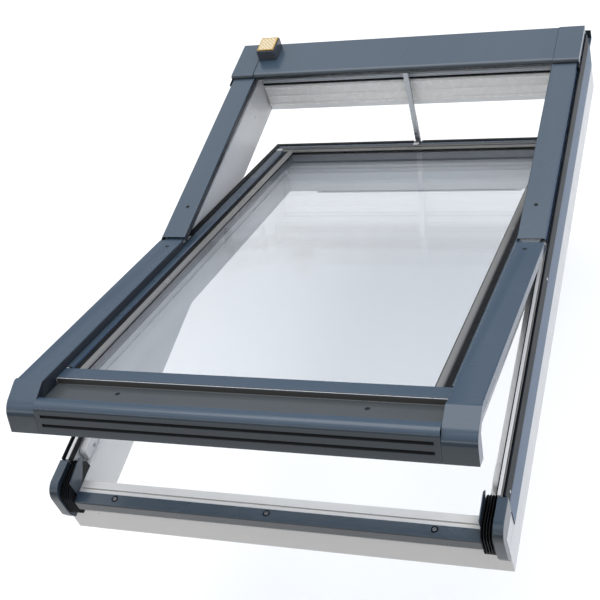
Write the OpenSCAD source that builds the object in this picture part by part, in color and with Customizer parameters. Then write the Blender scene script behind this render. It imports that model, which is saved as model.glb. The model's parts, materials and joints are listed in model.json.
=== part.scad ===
// Centre-pivot roof skylight with its frame, metal covers and chain opener.
// X runs across the window, Y up the roof slope, Z outward to the sky.
// The origin is the middle of the frame on its room-side plane.

/* [Window] */
// Outer width of the fixed frame
frame_w = 780; // [660:10:1000]
// Outer length of the fixed frame along the slope
frame_l = 1180; // [980:10:1500]
// Depth of the white frame from the room side to its top ledge
frame_h = 98; // [92:1:110]
// Width of each frame rail on the room side
rail_w = 37; // [32:1:45]

/* [Opening] */
// Angle at which the sash stands open
open_deg = 21.3; // [5:0.1:24]
// Distance of the pivot below the middle of the frame
pivot_drop = 31.5; // [10:0.5:60]
// Height of the pivot above the room-side plane
pivot_z = 100; // [96:1:106]
// Diameter of the hinge pins
pin_d = 14; // [10:1:18]

/* [Sash] */
// Gap between the sash and the frame at each side
side_gap = 4; // [3:0.5:6]
// Gap between the top of the sash and the head rail
top_gap = 13; // [12:0.5:20]
// Gap between the bottom of the sash and the bottom rail
bottom_gap = 4; // [3:0.5:8]
// Width of the sash side rails
sash_side_w = 49; // [44:1:60]
// Width of the sash top rail, which holds the ventilation flap
sash_top_w = 82; // [70:1:100]
// Width of the sash bottom rail
sash_bottom_w = 44; // [40:1:60]
// Height of the sash's room-side face above the frame's room-side plane
sash_z0 = 48; // [40:1:56]
// Height of the top of the sash rails
sash_z1 = 134; // [130:1:136]
// Width of the rebate that holds the glass
rebate_w = 26; // [22:1:28]

/* [Glass] */
// Thickness of each glass pane
pane_t = 4; // [3:0.5:5]
// Space between the panes
pane_space = 16; // [12:1:18]
// Clearance round the edge of the glass
glass_clear = 4; // [2:0.5:6]

/* [Covers] */
// Height of the flat tops of the side covers
cover_z = 151; // [150:0.5:154]
// Thickness of the folded cover sheets
sheet_t = 1.5; // [1:0.1:2]
// Distance of the covers' inner edge from the side of the frame
cover_inset = 61; // [56:1:66]
// Width of the flat top of the side covers
cover_w = 51; // [49:0.5:51.5]
// Depth of the outer skirt of the side covers
skirt_h = 13; // [10:0.5:14]
// Place of the lower end of the fixed upper covers, below the middle
cover_split = 15.6; // [10:0.2:22]
// Height of the top of the head cover
hood_z = 159; // [157:0.5:165]
// Width of the end caps of the head cover
cap_w = 52; // [46:1:56]
// Overhang of the front cover beyond the bottom of the frame
front_reach = 40; // [36:1:50]

/* [Opener] */
// Width of the drive chain
chain_w = 12; // [9:0.5:14]
// Thickness of the drive chain
chain_t = 7; // [5:0.5:8]
// Pitch of the chain's links
chain_pitch = 10.5; // [8:0.5:14]
// Place of the chain across the window
chain_x = -1; // [-60:1:60]

/* [Hidden] */

// ---- places worked out from the driving sizes ----
half_w = frame_w / 2;
half_l = frame_l / 2;
in_x = half_w - rail_w;
in_y = half_l - rail_w;
pivot_y = -pivot_drop;
sash_x = in_x - side_gap;
sash_top = in_y - top_gap;
sash_bottom = -in_y + bottom_gap;
glass_z = sash_z1 - 6;
unit_h = 2 * pane_t + pane_space;
seat_t = 2;
seat_z = glass_z - unit_h - seat_t;
open_x = sash_x - sash_side_w;
rebate_x = open_x + rebate_w;
rebate_top = sash_top - 23;
rebate_bottom = sash_bottom + 20;
open_top = sash_top - sash_top_w;
open_bottom = sash_bottom + sash_bottom_w;
cover_x0 = half_w - cover_inset;
cover_x1 = cover_x0 + cover_w;

// outer side of the frame
clad_z0 = 58;
clad_edge_z = 106;
ridge_z = 140;
ridge_x = half_w - 3.5;
ridge_w = 2.5;
rib_x0 = half_w - 16.5;
rib_x1 = half_w - 11;
rib_z = 139;
bottom_end = -half_l + 50;

// covers of the sash
fold_y = pivot_y - 15.1;
lip_len = 32;
lip_drop = 4.6;
bend_y = -half_l + 2;
front_y = -half_l - front_reach;
front_z = 79;

// hood over the head rail
hood_front = sash_top - 60;
hood_back = half_l + 3;
cap_x0 = half_w - 58;
cap_x1 = cap_x0 + cap_w;

// chain opener
link_z = 126;
link_y = sash_top + 3.5;
exit_z = 144;
guide_d = 12;
guide_half = 8.8;
function turned(y, z, deg) = [
    pivot_y + (y - pivot_y) * cos(deg) + (z - pivot_z) * sin(deg),
    pivot_z - (y - pivot_y) * sin(deg) + (z - pivot_z) * cos(deg)
];
link_open = turned(link_y, link_z, open_deg);
chain_lean = atan2(link_y - link_open[0], exit_z - link_open[1]);
chain_len = norm([link_y - link_open[0], exit_z - link_open[1]]);

// ventilation flap on the room side of the top rail
flap_x = open_x - 60;
flap_y = sash_top - 8;
flap_l = 58;
flap_t = 8;
flap_z = sash_z0 - 7;

white = [0.90, 0.90, 0.89];
slate = [0.38, 0.44, 0.50];
dark = [0.10, 0.11, 0.12];
silver = [0.70, 0.72, 0.74];

// ---- helpers ----
$fn = 48;

// a point list along an arc, angles in degrees
function arc(c, r, a0, a1, n = 8) =
    [for (i = [0:n]) let (a = a0 + (a1 - a0) * i / n) c + r * [cos(a), sin(a)]];
function unit(v) = v / norm(v);
function left_normal(v) = [-v[1], v[0]];
function flat(v) = [v[0], v[1]];
// the path with each inner corner rounded by an arc; a corner's third value is its own radius
function rounded(p, r, n = 6) = [
    for (i = [0:len(p) - 1])
        if (i == 0 || i == len(p) - 1) flat(p[i])
        else let (
            here = flat(p[i]),
            rad = is_undef(p[i][2]) ? r : p[i][2],
            a = unit(flat(p[i - 1]) - here),
            b = unit(flat(p[i + 1]) - here),
            half = acos(max(-1, min(1, a * b))) / 2,
            reach = rad / tan(half),
            c = here + unit(a + b) * rad / sin(half),
            s = here + a * reach - c,
            e = here + b * reach - c,
            a0 = atan2(s[1], s[0]),
            turn = atan2(s[0] * e[1] - s[1] * e[0], s * e)
        ) each [for (k = [0:n]) c + rad * [cos(a0 + turn * k / n), sin(a0 + turn * k / n)]]
];
// the path moved to its left by t, with mitred corners
function beside(p, t) = [
    for (i = [0:len(p) - 1]) let (
        before = i == 0 ? p[1] - p[0] : p[i] - p[i - 1],
        after = i == len(p) - 1 ? before : p[i + 1] - p[i],
        n0 = left_normal(unit(before)),
        n1 = left_normal(unit(after)),
        m = n0 + n1
    ) p[i] + m * 2 * t / (m * m)
];
// a folded sheet's section: its outer face follows the path, its metal lies to the left
module folded(path, r = 2.5, t = sheet_t, n = 6) {
    p = rounded(path, r, n);
    q = beside(p, t);
    polygon(concat(p, [for (i = [len(q) - 1:-1:0]) q[i]]));
}
// an X-Z section carried along Y
module along_y(y0, y1) translate([0, y1, 0]) rotate([90, 0, 0])
    linear_extrude(y1 - y0) children();
// a Y-Z section carried along X
module along_x(x0, x1) translate([x0, 0, 0]) rotate([90, 0, 90])
    linear_extrude(x1 - x0) children();
module box(a, b) translate(a) cube(b - a);
module rod_x(x0, x1, y, z, d) translate([x0, y, z]) rotate([0, 90, 0])
    cylinder(d = d, h = x1 - x0);
module left_side() mirror([1, 0, 0]) children();
module both_sides() {
    children();
    left_side() children();
}
// the sash is drawn closed and turned about its pivot to where it stands open
module sash_pose() translate([0, pivot_y, pivot_z]) rotate([-open_deg, 0, 0])
    translate([0, -pivot_y, -pivot_z]) children();
// a panhead screw whose head sits on z = 0
module screw(head_d, shank_d, shank_l, head_h = 1.4) difference() {
    union() {
        cylinder(d = head_d, h = head_h);
        translate([0, 0, -shank_l]) cylinder(d = shank_d, h = shank_l);
    }
    translate([0, 0, head_h - 0.8]) cylinder(d = head_d * 0.45, h = 1);
}

// ---- fixed frame ----
hinge_t = 5;
hinge_half = 40;
hinge_top = pivot_z + 18;
hinge_foot = frame_h - 18;
module jamb_section() difference() {
    polygon(concat(
        [[in_x, 0], [half_w, 0], [half_w, clad_z0], [half_w - sheet_t, clad_z0],
         [half_w - sheet_t, frame_h]],
        arc([in_x + 3, frame_h - 3], 3, 90, 180)));
    translate([in_x + 11, frame_h - 3]) square([1.4, 4]);
}
module jamb() color(white) difference() {
    along_y(-half_l, half_l) jamb_section();
    box([in_x - 1, pivot_y - hinge_half, hinge_foot],
        [in_x + hinge_t, pivot_y + hinge_half, frame_h + 1]);
}
module frame_right_jamb() jamb();
module frame_left_jamb() left_side() jamb();

module frame_head_rail() color(white) along_x(-in_x, in_x)
    polygon(concat([[half_l, 0], [half_l, frame_h], [in_y + 3, frame_h]],
        arc([in_y + 3, frame_h - 3], 3, 90, 180), [[in_y, 0]]));

sill_head_d = 7;
sill_hole_d = 12;
sill_shank_d = 4;
sill_shank_l = 12;
sill_t = 2;
module sill_screw_places() for (i = [-1:1])
    translate([i * (half_w - 111), -half_l + 3.5, frame_h]) children();
module frame_bottom_rail() color(white) difference() {
    along_x(-in_x, in_x) difference() {
        polygon(concat([[-half_l, 0], [-in_y, 0]],
            arc([-in_y - 3, frame_h - 3], 3, 0, 90), [[-half_l, frame_h]]));
        translate([-in_y - 18.5, frame_h - 3]) square([3, 4]);
        translate([-half_l - 1, clad_z0]) square([1 + sheet_t, 2]);
    }
    sill_screw_places() translate([0, 0, -sill_shank_l])
        cylinder(d = sill_shank_d, h = sill_shank_l + 1);
}

// the outer aluminium cladding of a jamb, with its ridge beside the covers
module cladding_section() polygon([
    [half_w - sheet_t, clad_z0], [half_w, clad_z0], [half_w, clad_edge_z],
    [ridge_x, ridge_z], [ridge_x - ridge_w, ridge_z], [ridge_x - ridge_w, frame_h],
    [ridge_x - ridge_w + sheet_t, frame_h], [ridge_x - ridge_w + sheet_t, ridge_z - sheet_t],
    [half_w - sheet_t, clad_edge_z]]);
clad_screw_z = 122;
clad_screw_d = 5;
module clad_screw_places() for (y = [pivot_y - 54, bottom_end + 18])
    translate([half_w - 1.2, y, clad_screw_z]) rotate([0, 84.1, 0]) children();
module cladding() color(slate) difference() {
    along_y(bottom_end, half_l) cladding_section();
    clad_screw_places() translate([0, 0, -3]) cylinder(d = clad_screw_d, h = 6);
}
module frame_cladding_right() cladding();
module frame_cladding_left() left_side() cladding();
module cladding_screws() color(dark) both_sides() clad_screw_places()
    translate([0, 0, -2]) cylinder(d = clad_screw_d, h = 2.2);

// the flashing upstand behind the head of the frame
upstand_out = 32;
gutter_z = 104;
module head_cladding() color(slate) along_x(-half_w, half_w) folded(
    [[half_l + upstand_out, gutter_z + 20], [half_l + upstand_out, gutter_z],
     [half_l, gutter_z], [half_l, clad_z0]]);

module jamb_rib() color(silver) along_y(bottom_end, sash_top) difference() {
    translate([rib_x0, frame_h]) square([rib_x1 - rib_x0, rib_z - frame_h]);
    translate([rib_x1 - 1.2, rib_z - 12]) square([2, 5]);
}
module jamb_rib_right() jamb_rib();
module jamb_rib_left() left_side() jamb_rib();

// the soft channel that climbs the rib's outer wall, and the lip on its inner side
module channel_gasket() color(dark) along_y(bottom_end, sash_top) {
    polygon([[rib_x1, frame_h], [ridge_x - ridge_w, frame_h], [ridge_x - ridge_w, 110],
             [rib_x1 + 2.5, 117], [rib_x1 + 1.5, rib_z - 13], [rib_x1, rib_z - 13]]);
    translate([rib_x0 - 2, rib_z - 13]) square([2, 12]);
}
module channel_gasket_right() channel_gasket();
module channel_gasket_left() left_side() channel_gasket();

// the moulded bush that guides the sash when it is turned round
bush_y0 = -half_l + 78;
bush_l = 52;
bush_h = 25;
module guide_bush() color(white) along_x(in_x + 6, rib_x0 - 2.2) difference() {
    polygon(concat([[bush_y0, frame_h], [bush_y0 + bush_l, frame_h]],
        arc([bush_y0 + bush_l - bush_h, frame_h], bush_h, 20, 90),
        arc([bush_y0 + 8, frame_h + bush_h - 8], 8, 90, 180)));
    translate([bush_y0 + bush_l - bush_h, frame_h + 6]) circle(d = 9);
}
module guide_bush_right() guide_bush();
module guide_bush_left() left_side() guide_bush();

sill_top = frame_h + sill_t;
sill_front = -half_l - 11;
module sill_cover() color(slate) difference() {
    along_x(0.5 - in_x, in_x - 0.5) folded([[-half_l + 11.5, sill_top], [sill_front, sill_top],
        [sill_front, sill_top - 21]], 3, sill_t);
    sill_screw_places() cylinder(d = sill_hole_d, h = 5);
}
// each screw with the sealing washer under its head
washer_t = 1;
module sill_screws() color(silver) sill_screw_places() {
    translate([0, 0, washer_t]) screw(sill_head_d, sill_shank_d, sill_shank_l, 1.6);
    difference() {
        cylinder(d = sill_hole_d - 0.4, h = washer_t);
        translate([0, 0, -1]) cylinder(d = sill_shank_d, h = washer_t + 2);
    }
}

// fins that close the corner between jamb, sill and the front of the sash
seal_y0 = -half_l + 66;
seal_foot = 58;
seal_skin = 3;
fin_n = 5;
fin_gap = 4.3;
fin_t = 1.4;
fin_r = 21;
fin_z = 127;
module seal_outline() polygon(concat(
    [[-half_l, seal_foot], [-half_l, frame_h], [seal_y0, frame_h]],
    arc([seal_y0 - fin_r, fin_z - fin_r], fin_r, 20, 90, 6),
    arc([-half_l + 8, fin_z - fin_r], fin_r, 90, 180, 10),
    [[-half_l - fin_r + 8, seal_foot + 12], [-half_l - 6, seal_foot]]));
module corner_seal() color(dark) {
    along_x(in_x + 1, rib_x0 - 0.5) polygon([[-half_l, seal_foot + 10], [-half_l, frame_h],
        [seal_y0, frame_h], [seal_y0 - 6, frame_h + seal_skin],
        [-half_l - seal_skin, frame_h + seal_skin], [-half_l - seal_skin, seal_foot + 10]]);
    for (i = [0:fin_n - 1]) translate([in_x + 1.2 + i * fin_gap, 0, 0])
        along_x(0, fin_t) seal_outline();
}
module corner_seal_right() corner_seal();
module corner_seal_left() left_side() corner_seal();

// the shell that ends a jamb's cladding, and the cheek on the seal's inner side
shell_r = 24.5;
shell_z = 136;
shell_y = -half_l + 8.2;
cheek_t = 2;
cheek_foot = sill_top + 0.3;
module corner_shell() color(slate) {
    along_x(rib_x0 + 0.5, half_w + 0.5) polygon(concat(
        [[-half_l, clad_z0 - 12], [-half_l, frame_h], [bottom_end - 0.5, frame_h],
         [bottom_end - 0.5, shell_z]],
        arc([shell_y, shell_z - shell_r], shell_r, 90, 180, 12),
        [[shell_y - shell_r, clad_z0 + 8], [-half_l - 8, clad_z0 - 12]]));
    along_x(in_x + 0.7 - cheek_t, in_x + 0.7) polygon([[-half_l + 4, cheek_foot],
        [-half_l + 26, cheek_foot], [-half_l + 61, cheek_foot + 32],
        [-half_l + 53, cheek_foot + 41], [-half_l + 4, cheek_foot + 35]]);
}
module corner_shell_right() corner_shell();
module corner_shell_left() left_side() corner_shell();

// ---- fixed upper covers and hood ----
under_z = cover_z - sheet_t;
bracket_y = [70, 250, 440];
bracket_screw_x = half_w - 38;
module bracket_places() for (y = bracket_y) translate([0, y, 0]) children();
module cover_brackets() color(dark) both_sides() difference() {
    bracket_places() along_y(-10, 10) polygon([[in_x + 8, frame_h], [in_x + 17, frame_h],
        [in_x + 17, under_z], [in_x - 8, under_z], [in_x - 8, under_z - 5],
        [in_x + 8, under_z - 5]]);
    translate([bracket_screw_x, bracket_y[0], under_z - 6]) cylinder(d = 3.5, h = 7);
}
module cover_path(skirt_in) folded([[cover_x1 + 1.5, cover_z - skirt_h],
    [cover_x1, cover_z], [cover_x0, cover_z], [cover_x0, skirt_in]]);
upper_cover_end = hood_front + 100;
module upper_cover() color(slate) difference() {
    along_y(-cover_split, upper_cover_end) cover_path(cover_z - skirt_h + 0.5);
    box([cover_x0 - 1, hood_front - 1, 0], [cap_x0, upper_cover_end + 1, cover_z + 1]);
    translate([bracket_screw_x, bracket_y[0], under_z - 1]) cylinder(d = 7.5, h = 4);
}
module upper_cover_right() upper_cover();
module upper_cover_left() left_side() upper_cover();
module upper_cover_screws() color(dark) both_sides()
    translate([bracket_screw_x, bracket_y[0], under_z]) screw(6.5, 3.5, 4.5, 1.2);

module head_hood() color(slate) along_x(0.5 - cap_x0, cap_x0 - 0.5) folded(
    [[hood_back, gutter_z], [hood_back, hood_z, 5], [hood_front, hood_z, 10],
     [hood_front, hood_z - 14]], n = 10);
cap_z = hood_z + 1;
cap_front = hood_front - 2;
cap_back = hood_back + 1;
cap_path = [[cap_back, gutter_z], [cap_back, cap_z, 5], [cap_front, cap_z, 8.2],
            [cap_front, cover_z]];
module head_cap() color(slate) {
    along_x(cap_x0, cap_x1) folded(cap_path, n = 10);
    along_x(cap_x1 - sheet_t, cap_x1) polygon(concat(rounded(cap_path, 5, 10),
        [[cap_front + 2, ridge_z + 3], [cap_back - 20, ridge_z + 3], [cap_back - 20, gutter_z]]));
}
module head_cap_right() head_cap();
module head_cap_left() left_side() head_cap();
module cap_seals() color(dark) both_sides() along_y(cap_front - 12, cap_front - 0.2)
    polygon([[cap_x1 - 2, ridge_z], [ridge_x, ridge_z], [ridge_x + 1.5, ridge_z + 5],
             [cap_x1, cover_z], [cap_x1 - 2, cover_z]]);

sensor_w = 43;
sensor_l = 49;
sensor_h = 25;
sensor_x = 1 - cap_x0;
sensor_y = hood_front + 52;
module rain_sensor_body() color([0.13, 0.17, 0.25])
    translate([sensor_x, sensor_y, hood_z]) cube([sensor_w, sensor_l, sensor_h]);
module rain_sensor_plate() color([0.85, 0.80, 0.62])
    translate([sensor_x, sensor_y, hood_z + sensor_h]) {
        translate([3, 3, 0]) cube([sensor_w - 6, sensor_l - 6, 1.2]);
        translate([2, 2, 1.2]) cube([sensor_w - 4, sensor_l - 4, 1.3]);
    }

// ---- chain opener ----
housing_half = 180;
housing_y = in_y + 5;
nose_reach = 18;
nose_half = 60;
bulge_r = (nose_half * nose_half + nose_reach * nose_reach) / (2 * nose_reach);
nose_z = sash_z1 + 5.5;
guide_pin_d = 4;
module actuator_housing() color([0.28, 0.27, 0.22]) translate([chain_x, 0, 0]) difference() {
    union() {
        along_x(-housing_half, housing_half) polygon([[housing_y, frame_h],
            [half_l - 4, frame_h], [half_l - 4, hood_z - 6], [housing_y + 6, hood_z - 6],
            [housing_y, hood_z - 12]]);
        intersection() {
            translate([0, housing_y - nose_reach + bulge_r, nose_z])
                cylinder(r = bulge_r, h = hood_z - 6 - nose_z, $fn = 96);
            box([-nose_half, housing_y - nose_reach - 1, nose_z],
                [nose_half, housing_y + 8, hood_z - 6]);
        }
    }
    box([-guide_half - 0.4, link_y - 12, nose_z - 1],
        [guide_half + 0.4, link_y + guide_d / 2 + 1, hood_z]);
    rod_x(-guide_half - 5, guide_half + 5, link_y, exit_z, guide_pin_d + 0.1);
}
module chain_pose() translate([chain_x, link_y, exit_z]) rotate([-chain_lean, 0, 0]) children();
module chain_guide() color(silver) chain_pose() {
    difference() {
        rod_x(-guide_half, guide_half, 0, 0, guide_d);
        translate([0, 0, -guide_d]) cylinder(d = 1.5, h = guide_d);
    }
    rod_x(-guide_half - 4.5, -guide_half, 0, 0, guide_pin_d);
    rod_x(guide_half, guide_half + 4.5, 0, 0, guide_pin_d);
}
chain_end_gap = 2.8;
chain_top = guide_d / 2;
chain_run = chain_len - chain_end_gap - chain_top;
module drive_chain() color(silver) chain_pose() difference() {
    translate([-chain_w / 2, -chain_t / 2, -chain_top - chain_run])
        cube([chain_w, chain_t, chain_run]);
    for (i = [1:floor(chain_run / chain_pitch)])
        translate([-chain_w / 2 - 1, chain_t, -chain_top - i * chain_pitch])
            rotate([90, 0, 0]) cylinder(d = 4.5, h = 2 * chain_t);
    translate([chain_w / 2 - 3, -chain_t / 2 - 1, -chain_top - chain_run + 6])
        cube([1.2, 2.2, chain_run - 12]);
}
notch_half = 10;
notch_d = 9;
notch_z = link_z - 12;
module chain_notch(z1) box([chain_x - notch_half, sash_top - notch_d, notch_z],
    [chain_x + notch_half, sash_top + 1, z1]);
module chain_bracket() sash_pose() color(white) translate([chain_x, 0, 0]) {
    difference() {
        union() {
            box([-notch_half, sash_top - notch_d, notch_z],
                [notch_half, sash_top - notch_d + 2, sash_z1]);
            for (x = [-notch_half, notch_half - 2]) box([x, sash_top - notch_d, notch_z],
                [x + 2, link_y + 4, sash_z1]);
        }
        rod_x(-20, 20, link_y, link_z, guide_pin_d);
    }
    rod_x(-notch_half, notch_half, link_y, link_z, guide_pin_d);
    box([-6, sash_top - 26, sash_z1 + 1.5], [6, sash_top - 15, sash_z1 + 3]);
}

module head_strip() color(silver) along_x(2 - in_x, in_x - 2)
    translate([in_y - 2, frame_h - 18]) square([2, 8]);
module head_gasket() color(dark) along_x(2 - in_x, in_x - 2)
    translate([in_y - 2.5, frame_h - 24]) square([2.5, 4.5]);
// the ribbed inner cover: a leaning face with three half-round ridges
rib_top = frame_h - 26;
rib_foot = 17;
function ridge(z, at) = abs(z - at) > 3.5 ? 0 : 1.7 * sqrt(1 - pow((z - at) / 3.5, 2));
function ribbed_y(z) = in_y - 2 - 4.5 * (rib_top - z) / (rib_top - rib_foot)
    - ridge(z, rib_top - 5) - ridge(z, rib_top - 28) - ridge(z, rib_foot + 5);
module ribbed_head_cover() color([0.78, 0.77, 0.74]) {
    along_x(4 - in_x, in_x - 4) polygon(concat([[in_y, rib_foot], [in_y, rib_top]],
        [for (i = [0:44]) let (z = rib_top - (rib_top - rib_foot) * i / 44) [ribbed_y(z), z]]));
    box([-in_x + 45, in_y - 5, rib_foot - 6], [-in_x + 60, in_y, rib_foot]);
}

// ---- hinges ----
module hinge_plate() color(silver) difference() {
    box([in_x, pivot_y - hinge_half, hinge_foot], [in_x + hinge_t, pivot_y + hinge_half, hinge_top]);
    rod_x(in_x - 1, in_x + hinge_t + 1, pivot_y, pivot_z, pin_d);
}
module hinge_plate_right() hinge_plate();
module hinge_plate_left() left_side() hinge_plate();
block_t = 13;
block_z0 = sash_z0 + 30;
block_z1 = max(sash_z1 - 8, pivot_z + pin_d / 2 + 2);
module hinge_pins() color(silver) both_sides()
    rod_x(sash_x - block_t + 1, in_x + hinge_t, pivot_y, pivot_z, pin_d);
module hinge_block() sash_pose() color(silver) difference() {
    box([sash_x - block_t, pivot_y - hinge_half, block_z0],
        [sash_x, pivot_y + hinge_half, block_z1]);
    rod_x(sash_x - block_t - 1, sash_x + 1, pivot_y, pivot_z, pin_d + 0.1);
}
module hinge_block_right() hinge_block();
module hinge_block_left() left_side() hinge_block();

// ---- sash ----
module glass_pocket() box([-rebate_x, rebate_bottom, seat_z], [rebate_x, rebate_top, sash_z1 + 1]);
step_in = 4;
module side_rail() sash_pose() color(white) difference() {
    box([open_x, sash_bottom, sash_z0], [sash_x, sash_top, sash_z1]);
    glass_pocket();
    box([open_x - 1, open_bottom, seat_z - 12], [open_x + step_in, open_top, seat_z + 1]);
    box([sash_x - block_t, pivot_y - hinge_half, block_z0],
        [sash_x + 1, pivot_y + hinge_half, block_z1]);
    clip_places() cylinder(d = 3, h = 8);
}
module sash_right_rail() side_rail();
module sash_left_rail() left_side() side_rail();
lug_t = 7;
module sash_top_rail() sash_pose() color(white) difference() {
    union() {
        box([-open_x, open_top, sash_z0], [open_x, sash_top, sash_z1]);
        both_sides() difference() {
            box([flap_x + 0.3, flap_y - 6, flap_z - 6], [flap_x + 0.3 + lug_t, flap_y + 6, sash_z0]);
            rod_x(flap_x - 1, flap_x + 6, flap_y, flap_z, guide_pin_d + 0.1);
        }
    }
    glass_pocket();
    box([-open_x - 1, open_top - 1, seat_z - 10], [open_x + 1, open_top + 9, seat_z + 1]);
    box([-open_x - 1, open_top - 1, seat_z - 4], [open_x + 1, open_top + 22, seat_z + 1]);
    chain_notch(sash_z1 + 1);
}
module sash_bottom_rail() sash_pose() color(white) difference() {
    box([-open_x, sash_bottom, sash_z0], [open_x, open_bottom, sash_z1]);
    glass_pocket();
    box([-open_x - 1, open_bottom - step_in, seat_z - 12], [open_x + 1, open_bottom + 1, seat_z + 1]);
}
// a flat ring: the glass outline less the given margins
module ring(x_in, y0_in, y1_in, edge, z0, z1) difference() {
    box([-rebate_x + edge, rebate_bottom + edge, z0], [rebate_x - edge, rebate_top - edge, z1]);
    box([-x_in, y0_in, z0 - 1], [x_in, y1_in, z1 + 1]);
}
inner_z = seat_z + seat_t;
module glazing_seat() sash_pose() color(dark)
    ring(open_x + step_in + 2, open_bottom, rebate_top - 16, glass_clear, seat_z, inner_z);
module pane(z) sash_pose() color([0.80, 0.86, 0.90, 0.4])
    box([-rebate_x + glass_clear, rebate_bottom + glass_clear, z],
        [rebate_x - glass_clear, rebate_top - glass_clear, z + pane_t]);
module inner_pane() pane(inner_z);
module outer_pane() pane(glass_z - pane_t);
module pane_spacer() sash_pose() color([0.35, 0.36, 0.38])
    ring(open_x - 2, open_bottom - 2, rebate_top - 22, glass_clear + 8,
        inner_z + pane_t, glass_z - pane_t);

// glazing strips: sections drawn by distance from the sash's edge and height
strip_in = 55;
strip_top_in = 42;
strip_bottom_in = 35;
strip_out = 11;
side_strip = [[strip_in, glass_z], [26, glass_z], [26, sash_z1 - 1], [strip_out, sash_z1 - 1],
    [strip_out, sash_z1 + 1.5], [29, sash_z1 + 1.5], [31, glass_z + 2.5], [41, glass_z + 2.5],
    [43, glass_z + 5], [53, glass_z + 5], [strip_in, glass_z + 2]];
top_strip = [[strip_top_in, glass_z], [26, glass_z], [26, sash_z1 - 1], [strip_out, sash_z1 - 1],
    [strip_out, sash_z1 + 1.5], [25, sash_z1 + 1.5], [27, glass_z + 3], [31, glass_z + 3],
    [33, glass_z + 5], [40, glass_z + 5], [strip_top_in, glass_z + 2]];
bottom_strip = [[strip_bottom_in, glass_z], [23.5, glass_z], [23.5, sash_z1 - 1], [2, sash_z1 - 1],
    [2, sash_z1 + 1.5], [31, sash_z1 + 1.5], [strip_bottom_in, glass_z + 3]];
strip_y0 = sash_bottom + strip_bottom_in + 0.3;
strip_y1 = sash_top - strip_top_in - 0.3;
function from_edge(edge, section) = [for (p = section) [edge - p[0], p[1]]];
module rail_walls() difference() {
    box([-sash_x - 1, sash_bottom - 1, seat_z], [sash_x + 1, sash_top + 1, sash_z1]);
    glass_pocket();
}
module glazing_strips() sash_pose() color(slate) difference() {
    union() {
        both_sides() along_y(strip_y0, strip_y1) polygon(from_edge(sash_x, side_strip));
        along_x(-sash_x + strip_out, sash_x - strip_out) polygon(from_edge(sash_top, top_strip));
        along_x(-sash_x + strip_out, sash_x - strip_out)
            polygon([for (p = bottom_strip) [sash_bottom + p[0], p[1]]]);
    }
    rail_walls();
}
module strip_gasket() sash_pose() color(dark) {
    both_sides() along_y(strip_y0, strip_y1) {
        translate([sash_x - 41, glass_z + 2.5]) square([10, 1.5]);
        translate([sash_x - strip_in - 1.4, glass_z]) square([1.4, 2]);
    }
    along_x(-sash_x + 31, sash_x - 31) translate([sash_top - 31, glass_z + 3]) square([4, 1]);
    along_x(-sash_x + strip_in + 1.4, sash_x - strip_in - 1.4) {
        translate([sash_top - strip_top_in - 1.4, glass_z]) square([1.4, 1.8]);
        translate([sash_bottom + strip_bottom_in, glass_z]) square([1.4, 1.8]);
    }
}
edge_y0 = pivot_y + hinge_half + 4;
module edge_gasket() sash_pose() color(dark) difference() {
    box([-sash_x, edge_y0, sash_z1], [sash_x, sash_top, sash_z1 + 3]);
    box([-sash_x + strip_out, edge_y0 - 1, sash_z1 - 1],
        [sash_x - strip_out, sash_top - strip_out, sash_z1 + 4]);
    chain_notch(sash_z1 + 4);
}

// ---- front and covers of the sash ----
floor_z = sash_z1 - 9;
lip_z = sash_z1;
carrier_z0 = floor_z - 17;
front_screw_x = half_w - 183;
front_screw_y = sash_bottom - 22;
module front_screw_places() both_sides()
    translate([front_screw_x, front_screw_y, floor_z - sheet_t]) children();
module front_carrier() sash_pose() color(dark) difference() {
    along_x(-cover_x0 + 3, cover_x0 - 3) polygon([[sash_bottom, carrier_z0],
        [sash_bottom, floor_z - sheet_t], [front_y + shelf_in, floor_z - sheet_t],
        [front_y + front_wall, floor_z - 6], [front_y + front_wall, carrier_z0]]);
    front_screw_places() translate([0, 0, -10]) cylinder(d = 3.5, h = 12);
}
shelf_in = 25;
front_wall = 5.5;
groove_d = 4;
groove_end = 10;
nose_r = 12;
louvre_z = [front_z + 33, front_z + 16.5];
// a louvre slot, undercut from above
module groove(z) polygon([[front_y - 1, z + 3.4], [front_y + groove_d, z + 2],
    [front_y + groove_d, z - 2], [front_y - 1, z - 3]]);
module front_cover() sash_pose() color(slate) difference() {
    along_x(0.5 - cover_x0, cover_x0 - 0.5) union() {
        folded([[sash_bottom - 2, sash_z1 + 1], [sash_bottom - 2, floor_z, 1.6],
            [front_y + shelf_in, floor_z, 2], [front_y + shelf_in - 2, lip_z, 2],
            [front_y, lip_z, nose_r], [front_y, front_z]], 2, n = 8);
        translate([front_y + 1, front_z]) square([front_wall - 1, lip_z - nose_r - front_z]);
    }
    along_x(groove_end - cover_x0, cover_x0 - groove_end) for (z = louvre_z) groove(z);
    front_screw_places() translate([0, 0, -1]) cylinder(d = 8.5, h = 5);
}
skirt_x = cover_x1 + sheet_t;
nose_y = -half_l - 19;
cover_nose = [[bend_y + 6.5, cover_z], [bend_y, cover_z, 6], [front_y + 11, cover_z - 20, 28],
              [front_y, cover_z - 32, 28], [front_y, front_z]];
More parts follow.
